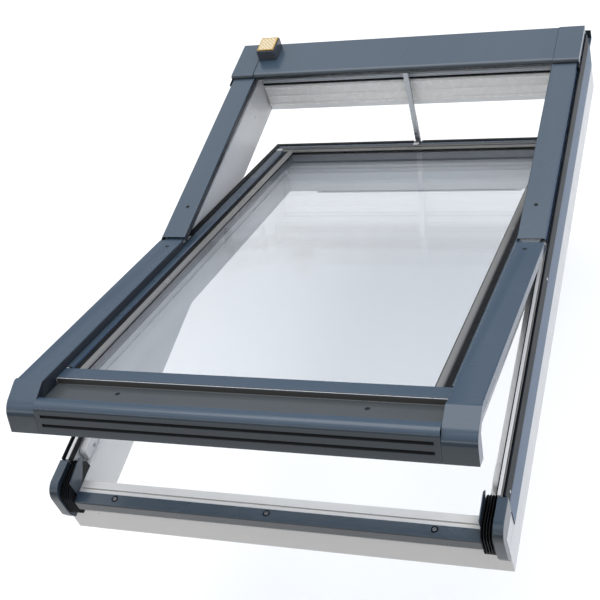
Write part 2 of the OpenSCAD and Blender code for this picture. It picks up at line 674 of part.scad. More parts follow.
module sash_cover() sash_pose() color(slate) {
    difference() {
        along_y(bend_y + 6, fold_y) cover_path(sash_z1 + 1.5);
        translate([clip_screw_x, clip_y[0], under_z - 1]) cylinder(d = 7.5, h = 4);
    }
    along_x(cover_x0 + 3, rib_x0 - 3) polygon([[fold_y + lip_len, cover_z - lip_drop],
        [fold_y - 1, cover_z], [fold_y - 1, under_z], [fold_y + lip_len, under_z - lip_drop]]);
    along_x(cover_x0, cover_x1 + 1) folded(cover_nose, 6, n = 8);
    cheek_path = rounded(cover_nose, 6, 8);
    along_x(cover_x0, cover_x0 + sheet_t) polygon(concat(cheek_path, [[nose_y, front_z],
        [nose_y, carrier_z0], [sash_bottom - 2, carrier_z0], [sash_bottom - 2, sash_z1 + 1.5],
        [bend_y + 6.5, sash_z1 + 1.5]]));
    along_x(skirt_x - sheet_t, skirt_x) polygon(concat(cheek_path, [[nose_y, front_z],
        [nose_y, cover_z - 30], [nose_y + 17, cover_z - skirt_h],
        [bend_y + 6.5, cover_z - skirt_h]]));
}
module sash_cover_right() sash_cover();
module sash_cover_left() left_side() sash_cover();
clip_y = [pivot_y - 43, -320, bend_y + 28];
clip_screw_x = half_w - 40;
module clip_places() for (y = clip_y) translate([sash_x - 5, y, sash_z1 - 7]) children();
module sash_cover_clips() sash_pose() color(dark) both_sides() difference() {
    union() {
        for (y = clip_y) along_y(y - 8, y + 8) polygon([[sash_x - 10, sash_z1],
            [sash_x - 1, sash_z1], [sash_x - 1, under_z - 6], [sash_x + 7, under_z - 6],
            [sash_x + 7, under_z], [sash_x - 10, under_z]]);
        clip_places() cylinder(d = 3, h = 7);
    }
    translate([clip_screw_x, clip_y[0], under_z - 5]) cylinder(d = 3.5, h = 6);
}
module sash_screws() sash_pose() color(dark) both_sides() {
    translate([clip_screw_x, clip_y[0], under_z]) screw(6.5, 3.5, 4.5, 1.2);
    translate([front_screw_x, front_screw_y, floor_z - sheet_t]) screw(7, 3.5, 9, 1.3);
}

// the ventilation flap, on trunnions between the lugs of the top rail
module vent_flap() sash_pose() color(white) {
    difference() {
        union() {
            box([-flap_x, flap_y - flap_l, flap_z - flap_t / 2], [flap_x, flap_y, flap_z + flap_t / 2]);
            rod_x(-flap_x, flap_x, flap_y, flap_z, flap_t);
        }
        box([-flap_x + 12, flap_y - flap_l - 1, flap_z - 1.5],
            [flap_x - 12, flap_y - flap_l + 5, flap_z + 1.5]);
    }
    rod_x(-flap_x - 5, -flap_x, flap_y, flap_z, guide_pin_d);
    rod_x(flap_x, flap_x + 5, flap_y, flap_z, guide_pin_d);
}

frame_head_rail();
frame_bottom_rail();
frame_left_jamb();
frame_right_jamb();
frame_cladding_left();
frame_cladding_right();
cladding_screws();
head_cladding();
jamb_rib_left();
jamb_rib_right();
channel_gasket_left();
channel_gasket_right();
guide_bush_left();
guide_bush_right();
sill_cover();
sill_screws();
corner_seal_left();
corner_seal_right();
corner_shell_left();
corner_shell_right();
cover_brackets();
upper_cover_left();
upper_cover_right();
upper_cover_screws();
head_hood();
head_cap_left();
head_cap_right();
cap_seals();
rain_sensor_body();
rain_sensor_plate();
actuator_housing();
head_strip();
head_gasket();
ribbed_head_cover();
chain_bracket();
hinge_plate_left();
hinge_plate_right();
hinge_pins();
sash_top_rail();
sash_bottom_rail();
sash_left_rail();
sash_right_rail();
hinge_block_left();
hinge_block_right();
glazing_seat();
inner_pane();
pane_spacer();
outer_pane();
glazing_strips();
strip_gasket();
edge_gasket();
front_carrier();
front_cover();
sash_cover_left();
sash_cover_right();
sash_cover_clips();
sash_screws();
chain_guide();
drive_chain();
vent_flap();
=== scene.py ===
# %% [markdown]
# # A roof window with its sash standing open
# The real object is an assembly of long straight profiles: white skinned rails, folded and
# coated metal covers, rubber seals and a glass unit. The CAD model already holds every one of
# them at its true size, so this notebook adds what a maker adds last: softened edges, finer
# pieces where the CAD is plain, and the finishes. Everything is in metres, in the CAD's frame.

# %% Load the frame
import json
import math
import bmesh
import bpy
import numpy as np
from mathutils import Matrix, Vector


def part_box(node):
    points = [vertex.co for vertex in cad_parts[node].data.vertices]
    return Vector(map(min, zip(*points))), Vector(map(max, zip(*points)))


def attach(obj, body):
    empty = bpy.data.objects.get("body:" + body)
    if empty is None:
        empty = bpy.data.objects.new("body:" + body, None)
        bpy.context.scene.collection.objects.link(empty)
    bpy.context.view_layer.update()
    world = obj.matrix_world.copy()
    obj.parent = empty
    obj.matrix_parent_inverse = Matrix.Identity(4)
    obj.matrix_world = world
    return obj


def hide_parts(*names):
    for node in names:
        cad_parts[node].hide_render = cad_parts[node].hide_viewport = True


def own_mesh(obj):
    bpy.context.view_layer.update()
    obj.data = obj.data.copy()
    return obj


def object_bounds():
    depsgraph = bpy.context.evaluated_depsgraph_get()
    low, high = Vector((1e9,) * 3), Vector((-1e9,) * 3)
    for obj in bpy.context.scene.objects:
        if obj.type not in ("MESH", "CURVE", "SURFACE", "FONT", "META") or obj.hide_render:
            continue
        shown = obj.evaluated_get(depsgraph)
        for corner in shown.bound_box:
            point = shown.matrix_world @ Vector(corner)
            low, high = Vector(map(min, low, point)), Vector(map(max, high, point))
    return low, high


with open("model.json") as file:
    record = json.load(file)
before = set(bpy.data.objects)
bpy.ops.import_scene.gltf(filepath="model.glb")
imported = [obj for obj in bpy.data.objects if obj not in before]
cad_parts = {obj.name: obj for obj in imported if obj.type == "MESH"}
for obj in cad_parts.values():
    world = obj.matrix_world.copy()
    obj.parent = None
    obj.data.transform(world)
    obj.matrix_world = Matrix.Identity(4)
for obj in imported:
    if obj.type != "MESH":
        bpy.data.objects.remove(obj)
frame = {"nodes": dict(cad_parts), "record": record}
cad_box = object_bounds()
MM = 0.001

# %% [markdown]
# ## Camera first
# A product view is a long lens from above and to one side. The camera is placed before any
# other work, so that each try can be judged at once. Its axes are written as three unit
# vectors; Blender's camera looks along its own -Z, so the third column is minus the view.

# %% Camera
FOCAL_MM = 71.005
SENSOR_MM = 36.0
EYE = (0.73293, -1.48263, 1.65762)
RIGHT = (0.93210658, 0.25562751, -0.25657727)
UP = (-0.0229578, 0.74869293, 0.66251931)
BACK = (0.36145575, -0.61164816, 0.70373025)

camera_data = bpy.data.cameras.new("view_camera")
camera_data.lens = FOCAL_MM
camera_data.sensor_width = SENSOR_MM
camera_data.clip_end = 30.0
camera = bpy.data.objects.new("view_camera", camera_data)
bpy.context.scene.collection.objects.link(camera)
axes = Matrix((RIGHT, UP, BACK)).transposed().to_4x4()
camera.matrix_world = Matrix.Translation(EYE) @ axes
bpy.context.scene.camera = camera
print("camera at", EYE)

# %% [markdown]
# ## Floor and light
# The window is shown on its own, as in a white studio. One very large pale floor lies below the
# lowest corner and a big soft panel hangs overhead. A long thin lamp stands low in front, so
# that each rounded edge of the covers picks up one crisp bright line. The world is a soft
# gradient: white overhead, dark at the front horizon and blue towards +X, which gives coated
# sheet part of its depth, because every face mirrors another part of it; the rest is painted
# light and shade by facing in the coat's colour.

# %% Floor
FLOOR_DROP = 0.30
FLOOR_HALF = 14.0
floor_z = cad_box[0][2] - FLOOR_DROP
floor_mesh = bpy.data.meshes.new("studio_floor")
floor_mesh.from_pydata(
    [(x * FLOOR_HALF, y * FLOOR_HALF, floor_z) for x, y in ((-1, -1), (1, -1), (1, 1), (-1, 1))],
    [], [(0, 1, 2, 3)])
floor = bpy.data.objects.new("studio_floor", floor_mesh)
bpy.context.scene.collection.objects.link(floor)
print("floor at z =", round(floor_z, 3))

# %% [markdown]
# ### Lamps and sky
# The sky's colour is a ramp over the height of a direction. Two bands then tint it: it is
# multiplied down towards the front, -Y, and mixed with blue towards the side, +X.

# %% Light


def soft_panel(name, place, aim, size, power):
    """An area lamp of size metres at place, turned so that its -Z points at aim."""
    data = bpy.data.lights.new(name, "AREA")
    data.shape = "RECTANGLE"
    data.size, data.size_y = size
    data.energy = power
    lamp = bpy.data.objects.new(name, data)
    bpy.context.scene.collection.objects.link(lamp)
    turned = (Vector(place) - Vector(aim)).to_track_quat("Z", "Y").to_matrix().to_4x4()
    lamp.matrix_world = Matrix.Translation(place) @ turned


soft_panel("overhead_panel", (0.2, 0.7, 3.2), (0, 0.1, 0), (4.2, 3.0), 74)
soft_panel("front_strip", (-1.5, -4.2, 2.0), (0, -0.2, 0.1), (4.6, 0.40), 18)

world = bpy.data.worlds.new("studio")
bpy.context.scene.world = world
world.use_nodes = True
wn, wl = world.node_tree.nodes, world.node_tree.links
direction = wn.new("ShaderNodeTexCoord")
parts = wn.new("ShaderNodeSeparateXYZ")
sky = wn.new("ShaderNodeValToRGB")
SKY_STOPS = ((0.0, (0.16, 0.18, 0.21)), (0.22, (0.42, 0.46, 0.52)),
             (0.55, (0.98, 0.99, 1.0)), (1.0, (1.0, 1.0, 1.0)))
while len(sky.color_ramp.elements) < len(SKY_STOPS):
    sky.color_ramp.elements.new(0.5)
for stop, (at, colour) in zip(sky.color_ramp.elements, SKY_STOPS):
    stop.position = at
    stop.color = (*colour, 1.0)
wl.new(direction.outputs["Generated"], parts.inputs[0])
wl.new(parts.outputs["Z"], sky.inputs["Fac"])


def tinted(previous, axis, start, end, mode, colour):
    """The sky mixed with a colour where the direction's axis runs from start to end."""
    band = wn.new("ShaderNodeMapRange")
    band.inputs["From Min"].default_value = start
    band.inputs["From Max"].default_value = end
    wl.new(parts.outputs[axis], band.inputs["Value"])
    mix = wn.new("ShaderNodeMix")
    mix.data_type = "RGBA"
    mix.blend_type = mode
    mix.inputs["B"].default_value = (*colour, 1.0)
    wl.new(band.outputs["Result"], mix.inputs["Factor"])
    wl.new(previous, mix.inputs["A"])
    return mix.outputs["Result"]


sides = tinted(sky.outputs["Color"], "Y", -0.35, -0.95, "MULTIPLY", (0.40, 0.41, 0.42))
sides = tinted(sides, "X", 0.45, 0.95, "MIX", (0.46, 0.57, 0.78))
wl.new(sides, wn["Background"].inputs["Color"])
wn["Background"].inputs["Strength"].default_value = 1.04
bpy.context.scene.view_settings.view_transform = "Standard"

# %% [markdown]
# ## A small kit for finishes
# Every finish below is one Principled shader fed by a few noise fields. Object coordinates are
# used because each piece's object sits at the origin: a pattern of one millimetre is one
# millimetre everywhere on the window.

# %% [markdown]
# ### Back to the closed frame
# The sash stands open: its pieces are turned about the pivot by OPEN from where they shut. Going
# back to the closed frame makes its rails square to the axes again, so bands are easy to place.

# %% The sash's own frame
sash_joint = next(j for j in frame["record"]["behaviour"]["joints"] if j["name"] == "sash_pivot")
PIVOT = Vector(sash_joint["pos_m"])
OPEN = math.radians(sash_joint["range_deg"][1])
TO_CLOSED = Matrix.Rotation(OPEN, 3, "X")
print("sash stands open by", round(math.degrees(OPEN), 1), "degrees")

# %% [markdown]
# ### One class for every finish
# Each method adds one or two shader nodes and gives back the socket that holds the result, so a
# finish reads as a chain of fields: noise, then a remapped band, then a blend of two colours.

# %% Finish kit
PROUD_EDGE = (0.52, 0.58)  # pointiness where an edge starts to count as proud, and where it does


class Finish:
    """A material under construction: its node tree and its one Principled shader."""

    def __init__(self, name, on_sash=False):
        self.material = bpy.data.materials.new(name)
        self.material.use_nodes = True
        self.tree = self.material.node_tree
        self.shader = self.tree.nodes["Principled BSDF"]
        spot = self.tree.nodes.new("ShaderNodeTexCoord")
        self.place, self.facing = spot.outputs["Object"], spot.outputs["Normal"]
        if on_sash:
            closed = self.tree.nodes.new("ShaderNodeMapping")
            closed.inputs["Rotation"].default_value = (OPEN, 0.0, 0.0)
            closed.inputs["Location"].default_value = PIVOT - TO_CLOSED @ PIVOT
            self.link(self.place, closed.inputs["Vector"])
            self.place = closed.outputs["Vector"]

    def node(self, kind, **values):
        """A new node of a kind, with the named inputs set."""
        made = self.tree.nodes.new(kind)
        for key, value in values.items():
            made.inputs[key].default_value = value
        return made

    def link(self, a, b):
        """Joins output a to input b."""
        self.tree.links.new(a, b)

    def noise(self, per_metre, detail=2.0, stretch=(1, 1, 1)):
        """Noise of per_metre grains a metre, drawn out by stretch along X, Y, Z."""
        mapped = self.tree.nodes.new("ShaderNodeMapping")
        mapped.inputs["Scale"].default_value = stretch
        self.link(self.place, mapped.inputs["Vector"])
        made = self.node("ShaderNodeTexNoise", Scale=per_metre, Detail=detail)
        self.link(mapped.outputs["Vector"], made.inputs["Vector"])
        return made.outputs["Fac"]

    def axis(self, vector, name, size_only=False):
        """One coordinate of a place or a normal, or its size without the sign."""
        split = self.tree.nodes.new("ShaderNodeSeparateXYZ")
        self.link(vector, split.inputs[0])
        if not size_only:
            return split.outputs[name]
        size = self.tree.nodes.new("ShaderNodeMath")
        size.operation = "ABSOLUTE"
        self.link(split.outputs[name], size.inputs[0])
        return size.outputs[0]

    def remap(self, field, low, high, out_low, out_high):
        """The field's band low..high carried to out_low..out_high, and clamped."""
        made = self.tree.nodes.new("ShaderNodeMapRange")
        for key, value in zip(("From Min", "From Max", "To Min", "To Max"),
                              (low, high, out_low, out_high)):
            made.inputs[key].default_value = value
        self.link(field, made.inputs["Value"])
        return made.outputs["Result"]

    def blend(self, field, a, b):
        """Colour a where the field is 0, colour or socket b where it is 1."""
        made = self.tree.nodes.new("ShaderNodeMix")
        made.data_type = "RGBA"
        self.link(field, made.inputs["Factor"])
        for socket, value in ((made.inputs["A"], a), (made.inputs["B"], b)):
            if isinstance(value, tuple):
                socket.default_value = (*value, 1.0)
            else:
                self.link(value, socket)
        return made.outputs["Result"]

    def bump(self, field, height, strength=1.0, under=None):
        """Raises the surface by height metres where the field is 1."""
        made = self.node("ShaderNodeBump", Strength=strength, Distance=height)
        self.link(field, made.inputs["Height"])
        if under:
            self.link(under, made.inputs["Normal"])
        return made.outputs["Normal"]

    def wear(self):
        """1 on proud outer edges, where a coat rubs first, and 0 on flats and in hollows."""
        edge = self.tree.nodes.new("ShaderNodeNewGeometry").outputs["Pointiness"]
        return self.remap(edge, *PROUD_EDGE, 0.0, 1.0)

    def set(self, **values):
        """Sets the shader's inputs: a number, a colour, or a socket to link. Spaces are _."""
        for key, value in values.items():
            socket = self.shader.inputs[key.replace("_", " ")]
            if isinstance(value, (int, float, tuple)):
                socket.default_value = (*value, 1.0) if isinstance(value, tuple) else value
            else:
                self.link(value, socket)
        return self


def lighter(colour, share):
    """The colour moved towards white (share above 0) or black (below 0)."""
    target = 1.0 if share > 0 else 0.0
    return tuple(c + (target - c) * abs(share) for c in colour)


print("finish kit ready")

# %% [markdown]
# ## Coated metal
# The covers are aluminium sheet with a satin coil coating. Such a coat is not a flat colour: it
# has a very fine orange peel, broad faint clouds where the film is thicker, and it dulls a
# little along the run of the water. Light and shade are also painted into the colour by facing:
# faces that look up keep the plain tone, faces towards +X take a painted side tone, and faces
# that look out over the eaves or down are painted deep as shade.

# %% Coated metal
SLATE = (0.029, 0.057, 0.091)
# Painted tones: a shade colour for faces towards the eaves and down, a bluish side tone towards +X.
SLATE_PAINTED_SHADE = (0.011, 0.018, 0.024)
SLATE_PAINTED_SIDE = (0.020, 0.048, 0.100)


def coated_metal(name, colour=SLATE, painted_shade_colour=SLATE_PAINTED_SHADE, painted_side_colour=SLATE_PAINTED_SIDE, shine=0.26,
                 gloss=0.45, coat=0.30, on_sash=False, painted_shade_from=-0.42):
    """Satin coil coating: colour where it looks up, a painted side tone towards +X, painted shade
    to the eaves and down.
    """
    f = Finish(name, on_sash)
    clouds = f.remap(f.noise(4.0, 0.0), 0.0, 1.0, 0.2, 0.8)
    runs = f.remap(f.noise(30.0, 0.0, stretch=(1.0, 0.05, 1.0)), 0.0, 1.0, 0.0, 0.4)
    base = f.blend(clouds, lighter(colour, -0.10), lighter(colour, 0.02))
    base = f.blend(runs, base, lighter(colour, -0.05))
    # Painted light by facing: a side tone towards +X, painted shade towards the eaves (-Y) and
    # down.
    base = f.blend(f.remap(f.axis(f.facing, "X"), 0.35, 0.9, 0.0, 1.0), base, painted_side_colour)
    base = f.blend(f.remap(f.axis(f.facing, "Y"), painted_shade_from, -0.92, 0.0, 1.0), base, painted_shade_colour)
    base = f.blend(f.remap(f.axis(f.facing, "Z"), 0.0, -0.5, 0.0, 1.0), base, painted_shade_colour)
    worn = f.blend(f.remap(f.wear(), 0, 1, 0, 0.15), base, lighter(colour, 0.12))
    normal = f.bump(f.noise(260.0, 0.0), 0.000004, 0.10)
    rough = f.remap(f.noise(14.0, 0.0), 0.0, 1.0, shine - 0.02, shine + 0.03)
    f.set(Base_Color=worn, Roughness=rough, Normal=normal)
    f.set(Specular_IOR_Level=gloss, Coat_Weight=coat, Coat_Roughness=0.08)
    return f


slate_coat = coated_metal("slate_coat", painted_shade_colour=(0.006, 0.009, 0.011), painted_shade_from=-0.30).material
sash_coat = coated_metal("sash_slate_coat", (0.023, 0.051, 0.088), (0.014, 0.022, 0.029),
                         painted_shade_from=-0.62).material
slate_shell = coated_metal("slate_shell_plastic", painted_side_colour=(0.022, 0.036, 0.056),
                           shine=0.34).material
# Painted shade: a dark slate for the covers' walls that face into the window.
inner_wall_painted_shade = coated_metal("slate_inner_wall_painted_shade", (0.016, 0.024, 0.036), painted_side_colour=(0.010, 0.015, 0.023),
                          shine=0.4, gloss=0.2, coat=0.0).material
# Painted shade: a darker grey for the sunken recess of the front cover.
recess_painted_shade = coated_metal("recess_painted_shade", (0.044, 0.053, 0.060), (0.040, 0.037, 0.034),
                           shine=0.36).material
black_screw = coated_metal("black_screw", (0.010, 0.011, 0.012), (0.006,) * 3, (0.010,) * 3,
                           shine=0.6, gloss=0.15, coat=0.0).material
# Painted shade: near black for the inside of the louvre slots.
slot_shadow = coated_metal("slot_shadow", (0.018, 0.020, 0.023), (0.012,) * 3, (0.012,) * 3,
                           shine=0.6, gloss=0.2, coat=0.0).material
print("coats:", slate_coat.name, slate_shell.name, black_screw.name)

# %% [markdown]
# ### Two parts of the same coat that look different
# A jamb's cladding is one folded sheet. Its upper lip lies in the shade of the covers, so a band
# over the height paints it near black above LIP_Z as painted shade; lower down, its faces towards
# +X take a light bluish tone as painted side light.
# A glazing strip is coated only on its outer half; the inner half is the bare clip rib, coloured
# beige-grey and blue-grey as a painted reflection of the rail seen through the pane's edge, and on
# the +X side painted nearly black as shade.

# %% Banded coats
LIP_Z = 0.113
FADE = 0.4 * MM
RIB_SHADE_FROM, RIB_SHADE_FULL = 0.30, 0.32


def cladding_coat():
    """The jamb cladding's coat: light bluish painted side light, and painted shade on the lip above
    LIP_Z.
    """
    # Painted side light: faces towards +X take a light bluish tone.
    f = coated_metal("cladding_coat", painted_side_colour=(0.135, 0.185, 0.255), shine=0.45, gloss=0.12, coat=0.0)
    below_lip_colour = f.shader.inputs["Base Color"].links[0].from_socket
    # Painted shade: above LIP_Z the lip is painted near black.
    high = f.remap(f.axis(f.place, "Z"), LIP_Z, LIP_Z + 0.004, 0.0, 1.0)
    return f.set(Base_Color=f.blend(high, below_lip_colour, (0.005, 0.009, 0.014))).material


def strip_coat(name, axis, coated_from, black_from):
    """Slate where the place's axis is beyond coated_from, black seam beyond black_from; the rib
    inside is painted reflection and painted shade.
    """
    f = coated_metal(name, on_sash=True)
    outer = f.shader.inputs["Base Color"].links[0].from_socket
    where = f.axis(f.place, axis, size_only=True)
    # Painted reflection: the bare rib takes beige-grey and blue-grey bands of the rail seen through
    # the pane.
    rib_painted_light = f.blend(f.noise(30.0, 0.0, stretch=(1, 0.05, 1)), (0.200, 0.194, 0.180),
                  (0.160, 0.165, 0.172))
    # Painted shade: on the +X side the rib is painted nearly black.
    painted_rib_shade = f.remap(f.axis(f.place, "X"), RIB_SHADE_FROM, RIB_SHADE_FULL, 0.0, 1.0)
    rib_painted_light = f.blend(painted_rib_shade, rib_painted_light, (0.010, 0.018, 0.030))
    base = f.blend(f.remap(where, coated_from, coated_from + FADE, 0.0, 1.0), rib_painted_light, outer)
    base = f.blend(f.remap(where, black_from, black_from + 0.0003, 0.0, 1.0), base, (0.006,) * 3)
    return f.set(Base_Color=base).material


cladding_slate = cladding_coat()
print("banded coats ready")

# %% [markdown]
# ## White skin of the rails
# The rails have a moulded polyurethane skin over a core: smooth, satin, with a trace of mould
# grain and slight waviness along the length that only shows in reflections. Faces that look
# forward at the eaves end are painted a warm grey as shade, and faces towards +X are painted
# darker as half shade.

# %% White skin
WHITE = (0.80, 0.80, 0.795)
EAVES_FROM, EAVES_FULL = -0.50, -0.56


def white_skin(name, colour=WHITE, shine=0.32):
    """White skin; painted warm-grey shade on its front end (-Y, at the eaves), painted half shade
    on its +X side.
    """
    f = Finish(name)
    clouds = f.remap(f.noise(4.0, 0.0), 0.1, 0.9, 0.0, 1.0)
    base = f.blend(clouds, lighter(colour, -0.035), lighter(colour, 0.02))
    dust = f.remap(f.noise(45.0, 1.0), 0.3, 0.9, 0.0, 0.10)
    base = f.blend(dust, base, lighter(colour, -0.10))
    grain = f.bump(f.noise(300.0, 0.0), 0.000005, 0.10)
    normal = f.bump(f.noise(9.0, 1.0, stretch=(1, 0.3, 1)), 0.0003, 0.1, under=grain)
    # Painted shade: forward-facing faces at the eaves end are darkened to a warm grey.
    painted_front_shade = f.tree.nodes.new("ShaderNodeMath")
    painted_front_shade.operation = "MULTIPLY"
    f.link(f.remap(f.axis(f.facing, "Y"), -0.6, -0.95, 0.0, 1.0), painted_front_shade.inputs[0])
    f.link(f.remap(f.axis(f.place, "Y"), EAVES_FROM, EAVES_FULL, 0.0, 1.0), painted_front_shade.inputs[1])
    base = f.blend(painted_front_shade.outputs[0], base, tuple(c * k for c, k in zip(colour, (0.64, 0.615, 0.59))))
    # Painted shade: faces towards +X are darkened as half shade.
    painted_side_shade = f.remap(f.axis(f.facing, "X"), 0.5, 0.95, 0.0, 0.30)
    base = f.blend(painted_side_shade, base, (0.22, 0.21, 0.20))
    rough = f.remap(f.noise(30.0, 0.0), 0.1, 0.9, shine - 0.05, shine + 0.08)
    f.set(Base_Color=base, Roughness=rough, Normal=normal)
    return f.material


rail_skin = white_skin("white_rail_skin")
white_part = white_skin("white_moulding", (0.76, 0.77, 0.77), 0.42)
print("whites:", rail_skin.name, white_part.name)

# %% [markdown]
# ## Seals and plastics
# EPDM seals are near black and matt, with a bloom of dust. Moulded plastics carry a spark-eroded
# grain, and their proud edges scuff a little lighter.

# %% Rubber and plastics


def rubber(name, colour=(0.007, 0.0075, 0.009)):
    """Matt near-black rubber with a bloom of dust."""
    f = Finish(name)
    dust = f.remap(f.noise(25.0, 0.0), 0.3, 0.9, 0.0, 0.25)
    base = f.blend(dust, colour, (0.020, 0.022, 0.025))
    normal = f.bump(f.noise(300.0, 0.0), 0.000005, 0.10)
    rough = f.remap(f.noise(80.0, 2.0), 0.3, 0.7, 0.40, 0.55)
    f.set(Base_Color=base, Roughness=rough, Normal=normal, Specular_IOR_Level=0.12)
    return f.material


def moulded(name, colour, shine=0.45, scuffed=0.25):
    """Moulded plastic with a fine grain, scuffed lighter on its proud edges."""
    f = Finish(name)
    clouds = f.remap(f.noise(8.0, 0.0), 0.1, 0.9, 0.0, 1.0)
    base = f.blend(clouds, lighter(colour, -0.05), lighter(colour, 0.02))
    scuff = f.remap(f.wear(), 0, 1, 0.0, scuffed)
    base = f.blend(scuff, base, lighter(colour, 0.15))
    normal = f.bump(f.noise(500.0, 0.0), 0.000005, 0.10)
    rough = f.remap(f.noise(60.0, 2.0), 0.3, 0.7, shine - 0.04, shine + 0.05)
    f.set(Base_Color=base, Roughness=rough, Normal=normal)
    return f.material


seal_rubber = rubber("seal_rubber")
dark_moulding = moulded("dark_moulding", (0.022, 0.024, 0.027))
opener_plastic = moulded("opener_plastic", (0.050, 0.046, 0.034), shine=0.34)
ribbed_plastic = moulded("ribbed_plastic", (0.86, 0.84, 0.81), shine=0.26, scuffed=0.0)
sensor_plastic = moulded("sensor_plastic", (0.018, 0.023, 0.034), shine=0.16)
grey_strip = moulded("grey_strip", (0.36, 0.38, 0.41), shine=0.34)
print("plastics ready")

# %% [markdown]
# ## Metals
# Zinc plate shows a faint spangle, which is a field of cells; bare aluminium has far larger ones,
# so that only a soft cloud is left. Fine scratches run along X, the way the strips are drawn.

# %% Plated steel, bare aluminium, chain steel


def plated(name, colour, spangle=260.0, shine=0.34):
    """Bare or plated metal: cells of spangle a metre, and scratches drawn out along X."""
    f = Finish(name)
    cells = f.node("ShaderNodeTexVoronoi", Scale=spangle)
    f.link(f.place, cells.inputs["Vector"])
    shade = f.remap(cells.outputs["Distance"], 0.0, 0.8, 0.0, 1.0)
    base = f.blend(shade, lighter(colour, -0.12), lighter(colour, 0.06))
    scratch = f.noise(500.0, 1.0, stretch=(0.05, 1, 1))
    normal = f.bump(scratch, 0.000006, 0.15)
    rough = f.remap(f.noise(60.0, 2.0), 0.3, 0.7, shine - 0.05, shine + 0.07)
    f.set(Base_Color=base, Roughness=rough, Normal=normal, Metallic=1.0)
    return f.material


zinc_steel = plated("zinc_steel", (0.58, 0.59, 0.60))
dark_steel = plated("dark_steel", (0.17, 0.18, 0.20))
bare_aluminium = plated("bare_aluminium", (0.62, 0.63, 0.64), spangle=12.0, shine=0.36)
chain_steel = plated("chain_steel", (0.42, 0.43, 0.45), spangle=500.0, shine=0.30)
spacer_metal = plated("spacer_metal", (0.20, 0.20, 0.21), spangle=700.0, shine=0.42)
print("metals ready")

# %% [markdown]
# ## Glass
# A float pane lets light straight through and mirrors a little, more at a glancing angle. So it is
# a mix of a clear, very slightly tinted shader and a mirror, and unlike a bending glass it lets
# the lamps reach the floor behind it. The mirror's share follows Schlick's rule: a few per cent
# head on, plus the rest times the fifth power of one minus the cosine of the angle.

# %% Glass
HEAD_ON = 0.03
SCHLICK_POWER = 5.0


def pane_glass(name, tint):
    """A clear tinted shader mixed with a mirror by Schlick's rule, with faint smears on it."""
    material = bpy.data.materials.new(name)
    material.use_nodes = True
    tree = material.node_tree
    tree.nodes.remove(tree.nodes["Principled BSDF"])
    out = tree.nodes["Material Output"]
    through = tree.nodes.new("ShaderNodeBsdfTransparent")
    mirror = tree.nodes.new("ShaderNodeBsdfGlossy")
    angle = tree.nodes.new("ShaderNodeLayerWeight")
    steep = tree.nodes.new("ShaderNodeMath")
    share = tree.nodes.new("ShaderNodeMapRange")
    mix = tree.nodes.new("ShaderNodeMixShader")
    smear = tree.nodes.new("ShaderNodeTexNoise")
    band = tree.nodes.new("ShaderNodeMapRange")
    place = tree.nodes.new("ShaderNodeTexCoord")
    through.inputs["Color"].default_value = (*tint, 1.0)
    mirror.inputs["Color"].default_value = (0.95, 0.97, 1.0, 1.0)
    angle.inputs["Blend"].default_value = 0.5
    steep.operation = "POWER"
    steep.inputs[1].default_value = SCHLICK_POWER
    share.inputs["To Min"].default_value = HEAD_ON
    share.inputs["To Max"].default_value = 1.0
    smear.inputs["Scale"].default_value = 7.0
    smear.inputs["Detail"].default_value = 4.0
    band.inputs["To Min"].default_value = 0.012
    band.inputs["To Max"].default_value = 0.045
    tree.links.new(place.outputs["Object"], smear.inputs["Vector"])
    tree.links.new(smear.outputs["Fac"], band.inputs["Value"])
    tree.links.new(band.outputs["Result"], mirror.inputs["Roughness"])
    tree.links.new(angle.outputs["Facing"], steep.inputs[0])
    tree.links.new(steep.outputs[0], share.inputs["Value"])
    tree.links.new(share.outputs["Result"], mix.inputs["Fac"])
    tree.links.new(through.outputs[0], mix.inputs[1])
    tree.links.new(mirror.outputs[0], mix.inputs[2])
    tree.links.new(mix.outputs[0], out.inputs["Surface"])
    return material


clear_glass = pane_glass("clear_glass", (0.982, 0.988, 0.994))
print("glass ready")

# %% [markdown]
# ## Sensor film and studio floor
# The rain sensor's top is a small plate printed with a fine comb of conductors. Two sets of thin
# stripes a couple of millimetres apart make the comb.

# %% Sensor film and floor
GOLD = (0.42, 0.26, 0.05)
RIM_OUT, RIM_IN = 3.0 * MM, 2.4 * MM


def sensor_film(name):
    """Pale film with a comb of conductors, and a gold line where it meets its dark rim."""
    f = Finish(name)
    low, high = (np.array(p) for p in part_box("rain_sensor_plate"))
    middle, reach = (low + high) / 2, (high - low) / 2
    centred = f.tree.nodes.new("ShaderNodeMapping")
    centred.inputs["Location"].default_value = tuple(-middle)
    f.link(f.place, centred.inputs["Vector"])
    waves = f.node("ShaderNodeTexWave", Scale=70.0, Distortion=2.5)
    waves.bands_direction = "DIAGONAL"
    f.link(centred.outputs["Vector"], waves.inputs["Vector"])
    comb = f.remap(waves.outputs["Fac"], 0.42, 0.58, 0.0, 1.0)
    base = f.blend(comb, (0.68, 0.58, 0.40), (0.52, 0.40, 0.22))
    for axis, half in (("X", reach[0]), ("Y", reach[1])):
        out = f.axis(centred.outputs["Vector"], axis, size_only=True)
        base = f.blend(f.remap(out, half - RIM_OUT, half - RIM_IN, 0.0, 1.0), base, GOLD)
    normal = f.bump(comb, 0.00003, 0.3)
    rough = f.remap(f.noise(300.0, 2.0), 0.3, 0.7, 0.25, 0.40)
    f.set(Base_Color=base, Roughness=rough, Normal=normal)
    return f.material


def studio_paper(name):
    """Nearly white paper with a faint cloud in it."""
    f = Finish(name)
    base = f.blend(f.noise(3.0, 2.0), (0.95, 0.95, 0.95), (0.96, 0.96, 0.96))
    f.set(Base_Color=base, Roughness=0.9)
    return f.material


gold_film = sensor_film("sensor_film")
floor.data.materials.append(studio_paper("studio_paper"))
print("film and floor ready")

